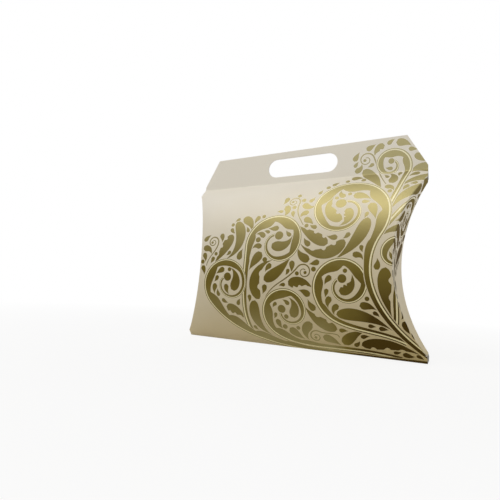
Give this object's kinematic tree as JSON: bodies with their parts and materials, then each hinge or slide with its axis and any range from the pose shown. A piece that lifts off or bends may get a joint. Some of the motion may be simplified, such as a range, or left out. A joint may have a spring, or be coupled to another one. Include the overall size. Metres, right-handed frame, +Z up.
{
  "type": "pillow box",
  "caption": "Folded card pillow box: bulging panels on a narrow flat base, hollow ends closed by curved tuck flaps, and a tapered double handle with a hand slot.",
  "frame": {"origin": "under the middle of the flat base, on the surface the box stands on", "axes": "+X along the box's length towards its right end, +Y from the front panel to the back panel, +Z up"},
  "size_m": [0.29, 0.0896, 0.245],
  "materials": {
    "pearl_card": "satin"
  },
  "bodies": {
    "carton": {"base_panel": "pearl_card", "front_panel": "pearl_card", "back_panel": "pearl_card", "front_handle": "pearl_card", "back_handle": "pearl_card"},
    "front_left_flap": {"front_left_flap": "pearl_card"},
    "front_right_flap": {"front_right_flap": "pearl_card"},
    "back_left_flap": {"back_left_flap": "pearl_card"},
    "back_right_flap": {"back_right_flap": "pearl_card"}
  },
  "joints": [
    {"name": "front_left_flap_fold", "type": "hinge", "parent": "carton", "child": "front_left_flap", "pos_m": [-0.11467, -0.04467, 0.09975], "axis": [0, 0, 1], "range_deg": [0, 120]},
    {"name": "back_left_flap_fold", "type": "hinge", "parent": "carton", "child": "back_left_flap", "pos_m": [-0.11373, 0.04467, 0.09975], "axis": [0, 0, -1], "range_deg": [0, 90]},
    {"name": "front_right_flap_fold", "type": "hinge", "parent": "carton", "child": "front_right_flap", "pos_m": [0.11467, -0.04467, 0.09975], "axis": [0, 0, -1], "range_deg": [0, 120]},
    {"name": "back_right_flap_fold", "type": "hinge", "parent": "carton", "child": "back_right_flap", "pos_m": [0.11373, 0.04467, 0.09975], "axis": [0, 0, 1], "range_deg": [0, 90]}
  ],
  "couplings": [
    {"joint": "back_left_flap_fold", "follows": "front_left_flap_fold", "ratio": 0.75},
    {"joint": "back_right_flap_fold", "follows": "front_right_flap_fold", "ratio": 0.75}
  ]
}
